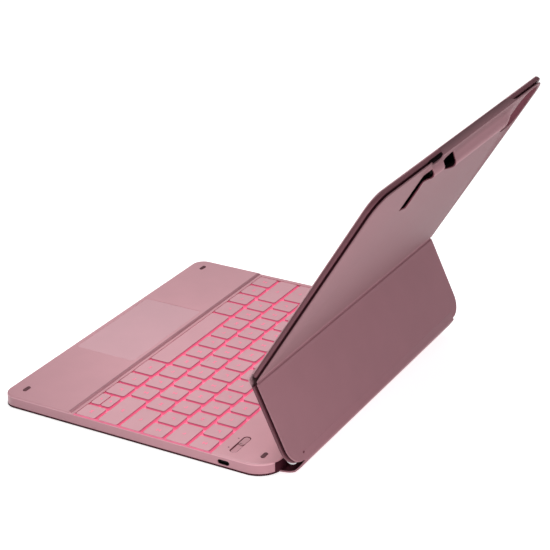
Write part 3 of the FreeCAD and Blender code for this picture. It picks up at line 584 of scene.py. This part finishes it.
def profile_at(points, value):
    """A smooth curve through height points."""
    if value <= points[0][0]:
        return points[0][1]
    for k in range(len(points) - 1):
        (va, ha), (vb, hb) = points[k], points[k + 1]
        if value <= vb:
            before, after = points[max(0, k - 1)], points[min(len(points) - 1, k + 2)]
            run = vb - va
            slope_a = (hb - before[1]) / (vb - before[0])
            slope_b = (after[1] - ha) / (after[0] - va)
            t = (value - va) / run
            return (ha * (1 + 2 * t) * (1 - t) ** 2 + hb * t * t * (3 - 2 * t)
                    + run * (slope_a * t * (1 - t) ** 2 - slope_b * t * t * (1 - t)))
    return points[-1][1]


TUBE = [(147.6, 0.0), (149.2, 0.5), (150.8, 2.6), (154.5, 5.4), (157.9, 7.0), (161.1, 6.3), (163.8, 3.2), (166.6, 0.4),
        (168.4, 0.0)]
STRAP = [(148.0, 0.0), (151.0, 0.3), (154.0, 1.3), (157.0, 3.0), (160.4, 5.0), (162.3, 5.4), (163.9, 4.8), (165.8, 2.4),
         (167.2, 0.2), (168.4, 0.0)]


def lift(x, v):
    """How far the panel's skin stands off its flat back, over the pencil sleeve and strap."""
    if x > 64.0:
        return 0.0
    tube = profile_at(TUBE, v) * smooth_step(x, -96, -62)
    lip = 2.0 * smooth_step(v, 126.0, 131.0) * (1 - smooth_step(v, 148, 158)) * smooth_step(x, 50, 61)
    strap = profile_at(STRAP, v) + lip
    share = smooth_step(x, 27, 44)
    return tube * (1 - share) + strap * share


def panel_skin():
    """The panel's back skin: flat, with the sleeve's tunnel, slit and openings worked into it."""
    outline = rounded(-HALF, HALF, 2.7, PANEL_TIP, 0.6, 0.6, 14.0, 14.0, steps=14)
    edge = 0.4
    outer = outline(edge)
    top_line = PANEL_TIP - edge
    notch = [(63.4, top_line), (63.0, 168.4), (61.6, 167.3), (57.0, 166.9), (51.0, 166.9), (46.5, 167.2), (45.2, 168.2),
             (44.8, top_line)]
    split = 0
    for k in range(len(outer)):
        if outer[k][1] > top_line - 1e-4 and outer[(k + 1) % len(outer)][0] < 0 < outer[k][0]:
            split = k
    lip = [(lx, top_line) for lx in range(43, -93, -3)]
    near = [(lx, top_line) for lx in range(124, 64, -3)]
    loop = outer[:split + 1] + near + notch + lip + outer[split + 1:]
    slit = [(61.6, 126.6), (63.6, 126.6), (65.6, 128.2), (66.0, 131.0), (66.0, 150.0), (65.6, 160.0), (63.4, 166.2),
            (62.2, 166.4), (61.8, 165.4)] + [(61.6, v) for v in range(164, 127, -2)]
    mouth = [(25.6, v) for v in range(150, 166, 1)]
    far = [(45.0, v) for v in range(165, 149, -1)]
    opening = [(26.2, 149.0)] + mouth + [(25.8, 166.2), (30.0, 166.5), (40.0, 166.5), (44.6, 166.2)] + far
    opening += [(44.4, 149.0), (35.0, 148.4)]
    grid = []
    for i in range(-76, 48):
        for j in range(0, 76):
            px, pv = i * 1.5, 112.0 + j * 0.75
            if pv < PANEL_TIP - 1.5:
                grid.append((px + (0.4 if j % 2 else 0), pv))
    window = hole(WINDOW)(0.35)

    def clear(p):
        """Whether a point is clear of the window, the slit and the sleeve's openings."""
        x0, v0 = p
        if abs(x0 + 120.0) < 17.4 and abs(v0 - 148.1) < 21.6:
            return False
        if 60.6 < x0 < 67.0 and 123.4 < v0 < 168.2:
            return False
        if 24.7 < x0 < 46.0 and 147.6 < v0 < 167.3:
            return False
        if 43.6 < x0 < 64.6 and v0 > 166.0:
            return False
        return -126 < x0 < 124
    extra = [p for p in grid if clear(p)]
    verts, tris = fill([loop, window, slit, opening], extra)
    points = [(v.x, v.y, BACK - lift(v.x, v.y)) for v in verts]
    faces = [tuple(tri) for tri in tris]
    face_mats = [0] * len(faces)

    def wall(loop_points, steps, dark_from=99, lit=None):
        """Rings that run from a boundary down into the panel; each step moves out and down."""
        n = len(loop_points)
        rings = []
        for out, down in [(0.0, 0.0)] + steps:
            ring = []
            for k in range(n):
                (xa, va), (xb, vb), (xc, vc) = loop_points[k - 1], loop_points[k], loop_points[(k + 1) % n]
                length = math.hypot(xc - xa, vc - va) or 1.0
                nx, nv = (vc - va) / length, -(xc - xa) / length
                depth = down(xb, vb) if callable(down) else down
                far_out = out(xb, vb) if callable(out) else out
                ring.append((xb + nx * far_out, vb + nv * far_out, BACK - lift(xb, vb) + depth))
            first = len(points)
            points.extend(ring)
            rings.append(first)
        for step, (a, b) in enumerate(zip(rings, rings[1:])):
            for k in range(n):
                faces.append((a + k, a + (k + 1) % n, b + (k + 1) % n, b + k))
                # Painted shade: faces from the dark_from step on take the dark maroon, except where lit keeps the skin.
                dark = step >= dark_from and not (lit and lit(*loop_points[k]) > 0.5)
                face_mats.append(1 if dark else 0)

    def covers(x, v):
        """Along the sleeve the skin reaches over the groove and the board's edge."""
        return smooth_step(x, -86, -74) * (1 - smooth_step(x, 43.2, 45.0)) if v > PANEL_TIP - 1.5 else 0.0

    def side_depth(x, v):
        """How far the skin turns down at the panel's edge."""
        return 0.9 + 4.65 * covers(x, v) + lift(x, v)
    round_over = [(edge * math.sin(t), edge * (1 - math.cos(t))) for t in (0.4, 0.8, 1.2, math.pi / 2)]
    wall(loop, round_over + [(lambda x, v: edge + 0.25 * covers(x, v), lambda x, v: edge + 0.5 * covers(x, v)),
                             (lambda x, v: edge + 0.25 * covers(x, v), side_depth),
                             (edge - 0.5, lambda x, v: side_depth(x, v) + 0.12)], dark_from=6, lit=covers)
    inward = [(0.12, 0.06), (0.28, 0.3), (0.3, 0.9), (0.0, 1.0)]
    for edge_loop in (slit, opening):
        wall(edge_loop[::-1] if polygon_area(edge_loop) > 0 else edge_loop, inward, dark_from=1)
    wall(window[::-1] if polygon_area(window) > 0 else window, [(0.1, 0.1), (0.12, 2.4)], dark_from=1)
    skin = build("panel_outer_skin", points, faces, PANEL, [PANEL_SKIN, MAROON], "panel", face_mats,
                 smooth=50)
    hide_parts("panel_back_skin", "pencil_sleeve")


def polygon_area(loop):
    """A loop's area, below zero when it runs clockwise."""
    return sum(loop[k - 1][0] * loop[k][1] - loop[k][0] * loop[k - 1][1] for k in range(len(loop))) / 2


panel_skin()
window_cut = hole(WINDOW)
core_ring = rounded(-CORE_HALF, CORE_HALF, 2.9, PANEL_TIP - 1.8, 0.5, 0.5, 11.5, 11.5, steps=14)
layer("panel_dark_core", [core_ring, window_cut], soft_edge(-2.35, -0.5, 0.05, 0.05, flat=0.2), PANEL, DARK, "panel",
      ["panel_core"])
front_ring = rounded(-HALF, HALF, 3.6, PANEL_TIP, 0.6, 0.6, 12.5, 7.0, steps=14)
layer("panel_front_board", [front_ring, window_cut], soft_edge(-0.55, 2.45, 0.7, 0.9, flat=0.2), PANEL, BOARD, "panel",
      ["panel_board"])
inner_ring = rounded(-141.1, 141.1, 4.3, PANEL_TIP - 0.4, 1.0, 1.0, 12.1, 6.6, steps=14)
layer("panel_inner_lining", [inner_ring, window_cut], soft_edge(2.4, 3.1, 0.05, 0.3, flat=0.2), PANEL, LINING, "panel",
      ["panel_lining"])
# Painted shade: near-black sheets, darker than the core, inside the sleeve and the notch in the top edge, for their
# shaded hollows.
layer("sleeve_hollow", [rounded(-78, 69, 120, 169.0, 2, 2, 2, 2)], [(0.3, -2.6), (0.0, -2.45), (0.0, -1.9)], PANEL,
      BLACK, "panel")
layer("edge_hollow", [rounded(43.6, 64.4, 163.5, PANEL_TIP - 0.15, 1, 1, 1, 1)], [(0.2, -2.3), (0.0, -2.1), (0.0, 0.1)],
      PANEL, BLACK, "panel")
bezel_inner = hole(rounded(-135.0, -105.0, 129.0, 167.2, 10.5, 10.5, 10.5, 10.5, steps=10))
layer("camera_rim", [WINDOW, bezel_inner], soft_edge(-2.9, 3.1, 0.2, 0.2, flat=0.1), PANEL, MAROON, "panel",
      ["camera_bezel"])

# ------------------------------------------------------------------ the soft skins of the spine and the fold

def on_flap(v, w):
    """A point across the flap, as y and z on the base."""
    p = FLAP @ Vector((0, v, w))
    return p.y, p.z


def on_panel(v, w):
    """A point across the panel, as y and z on the base."""
    p = PANEL @ Vector((0, v, w))
    return p.y, p.z


def spine():
    """The skin from under the base, round behind the barrel, up to the flap."""
    corners = [(110.6, 0.02), (113.7, 0.3), (116.8, 0.7), (119.2, 1.15), (121.4, 1.75), (124.4, 3.0), (126.1, 4.6),
               (127.7, 6.3), (129.9, 9.1), (131.4, 11.5), (132.8, 13.7), (132.7, 15.0), on_flap(-64.6, BACK - 0.02),
               on_flap(-62.6, BACK - 0.02), on_flap(-61.0, BACK - 0.02)]
    path = []
    for k in range(len(corners) - 1):
        before, a, b, after = corners[max(0, k - 1)], corners[k], corners[k + 1], corners[min(len(corners) - 1, k + 2)]
        for step in range(4):
            t = step / 4
            path.append(tuple(0.5 * (2 * a[i] + (b[i] - before[i]) * t
                                     + (2 * before[i] - 5 * a[i] + 4 * b[i] - after[i]) * t * t
                                     + (3 * a[i] - before[i] - 3 * b[i] + after[i]) * t ** 3) for i in (0, 1)))
    path.append(corners[-1])
    # Painted shade: the ribbon's inner side takes the dark core colour, for the shaded cavity behind the base.
    piece = extrude("spine_soft_skin", ribbon(path, 1.25), -126.0, 126.0, BASE, [SKIN, DARK], None,
                    bevel=0.3, outside=len(path) - 1)
    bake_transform(piece)
    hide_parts("spine_skin")


def rear_wall_shade():
    """Painted shade: a thin dark sheet over the base's rear wall and rear corners, where the gap between the base and
    the spine lies in shade.
    """
    outline = base_ring(0.0)
    for name, side in (("rear_wall_shade_right", 1), ("rear_wall_shade_left", -1)):
        ring = [p for p in outline(-0.06) if p[1] > base_high.y - 2.6 and p[0] * side > 100]
        ring.sort(key=lambda p: p[0] * side)
        path = [(side * 60.0, base_high.y + 0.06)] + ring
        wall_points, wall_faces = [], []
        for x, y in path:
            reach = x - side * (base_high.x - REAR_CORNER)
            nx = reach / REAR_CORNER if reach * side > 0 else 0.0
            ny = math.sqrt(max(0.0, 1 - nx * nx))
            out_x, out_y = x + nx * 0.3, y + ny * 0.3
            wall_points += [(x, y, 1.5), (out_x, out_y, 1.5), (out_x, out_y, 8.7), (x, y, 8.7)]
        for k in range(len(path) - 1):
            a, b = 4 * k, 4 * k + 4
            wall_faces += [(a + i, a + (i + 1) % 4, b + (i + 1) % 4, b + i) for i in range(4)]
        last = 4 * (len(path) - 1)
        wall_faces += [(3, 2, 1, 0), (last, last + 1, last + 2, last + 3)]
        build(name, wall_points, wall_faces, BASE, DARK, "base")


def fold_skins():
    """The creased strip behind the fold and the rounded lining in front of it."""
    crease_y, crease_z = 103.97, 73.73
    front_radius, closing = 3.1, math.radians(56.7)
    path = [on_flap(v, BACK + d) for v, d in ((-6.5, 0.05), (-4.2, -0.12), (-3.4, -0.12), (-2.9, 0.35))]
    path += [(crease_y - 0.35, crease_z - 0.02)]
    path += [on_panel(v, BACK + d) for v, d in ((2.9, 0.35), (3.4, -0.12), (4.2, -0.12), (6.5, 0.05))]
    piece = extrude("fold_back_strip", ribbon(path, 0.7), -140.6, 140.6, BASE, SKIN, None, bevel=0.0)
    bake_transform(piece)
    front = [on_panel(v, w) for v, w in ((8.0, 3.22), (5.0, 3.22), (2.8, 3.2))]
    for k in range(1, 8):
        angle = PANEL_ANGLE + closing * k / 8
        front.append((fold.y - front_radius * math.sin(angle), fold.z + front_radius * math.cos(angle)))
    front += [on_flap(v, w) for v, w in ((-2.8, 2.95), (-5.0, 2.5), (-8.0, 2.42))]
    piece = extrude("fold_front_lining", ribbon(front[::-1], 0.7), -140.6, 140.6, BASE, LINING, None,
                    bevel=0.0)
    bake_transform(piece)
    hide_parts("fold_lining")


spine()
rear_wall_shade()
fold_skins()

# ------------------------------------------------------------------ barrel
along, out, barrel_radius = -63.9, 7.8, 4.8


def circle(radius, centre_y, centre_z, steps=40):
    """A round section."""
    turns = [2 * math.pi * k / steps for k in range(steps)]
    return [(centre_y + radius * math.cos(turn), centre_z + radius * math.sin(turn)) for turn in turns]


for name, x0, x1 in (("barrel_middle", -98.0, 98.0), ("barrel_left", -125.0, -110.0), ("barrel_right", 110.0, 125.0)):
    tube = extrude(name, circle(barrel_radius, along, out), x0, x1, FLAP, SHELL, "flap", bevel=0.35)
    if name == "barrel_middle":
        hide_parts("hinge_barrel")
saddle = [(along - 3.0, 1.9), (along + 5.2, 1.9), (along + 15.0, 1.9), (along + 15.0, 2.7), (along + 6.0, 3.4),
          (along + 3.6, 5.0), (along + 3.0, out), (along - 3.0, out)]
extrude("barrel_saddle", saddle, -119.0, 119.0, FLAP, SHELL, "flap", bevel=0.3)
for name, x0, x1 in (("barrel_cap_left", -126.0, -125.0), ("barrel_cap_right", 125.0, 126.0)):
    cap = extrude(name, circle(barrel_radius, along, out), x0, x1, FLAP, SILVER, "flap", bevel=0.3)
    if name == "barrel_cap_left":
        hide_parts("barrel_caps")

# ------------------------------------------------------------------ floor, lights and camera
FLOOR = 6.0
floor_mesh = bpy.data.meshes.new("floor")
floor_mesh.from_pydata([(-FLOOR, -FLOOR, 0), (FLOOR, -FLOOR, 0), (FLOOR, FLOOR, 0), (-FLOOR, FLOOR, 0)], [],
                       [(0, 1, 2, 3)])
floor = bpy.data.objects.new("floor", floor_mesh)
floor_mesh.materials.append(material("floor_white", (0.9, 0.9, 0.9, 1), rough=0.9, vary=0.003, bump=0.0, blotch=2.0,
                                     specular=0.0, glow=(1, 1, 1, 1), glow_strength=0.7))
floor.location.z = -0.0004
bpy.context.scene.collection.objects.link(floor)

world = bpy.data.worlds.new("studio")
world.use_nodes = True
world.node_tree.nodes["Background"].inputs["Color"].default_value = (1, 1, 1, 1)
world.node_tree.nodes["Background"].inputs["Strength"].default_value = 0.36
bpy.context.scene.world = world


def area_light(name, position, target, width, height, watts):
    """A soft rectangular light that points at a target."""
    data = bpy.data.lights.new(name, "AREA")
    data.shape = "RECTANGLE"
    data.size, data.size_y = width, height
    data.energy = watts
    light = bpy.data.objects.new(name, data)
    light.location = position
    direction = Vector(target) - Vector(position)
    light.rotation_euler = direction.to_track_quat("-Z", "Y").to_euler()
    bpy.context.scene.collection.objects.link(light)


area_light("deck_key", (0.03, 0.0, 0.40), (0.03, 0.0, 0.0), 0.2, 0.2, 0.84)
area_light("top_soft", (-0.3, -0.3, 1.5), (0, 0, 0.05), 1.2, 1.2, 2.4)
area_light("rear_soft", (0.3, 1.5, 0.6), (0.0, 0.1, 0.05), 0.9, 0.6, 3.3)
area_light("corner_low", (0.36, 0.42, 0.10), (0.13, 0.1, 0.01), 0.12, 0.08, 0.45)

camera_data = bpy.data.cameras.new("camera")
camera_data.sensor_width = 36.0
camera_data.lens = 109.81
camera_data.clip_end = 20.0
camera = bpy.data.objects.new("camera", camera_data)
back = Vector((0.7995, 0.4395, 0.4095)).normalized()
target = Vector((-0.1441, -0.0396, 0.00876))
camera.location = target + back * 1.430
camera.rotation_mode = "QUATERNION"
camera.rotation_quaternion = (-back).to_track_quat("-Z", "Y")
bpy.context.scene.collection.objects.link(camera)
bpy.context.scene.camera = camera
bpy.context.scene.view_settings.view_transform = "Standard"
bpy.context.scene.view_settings.look = "None"
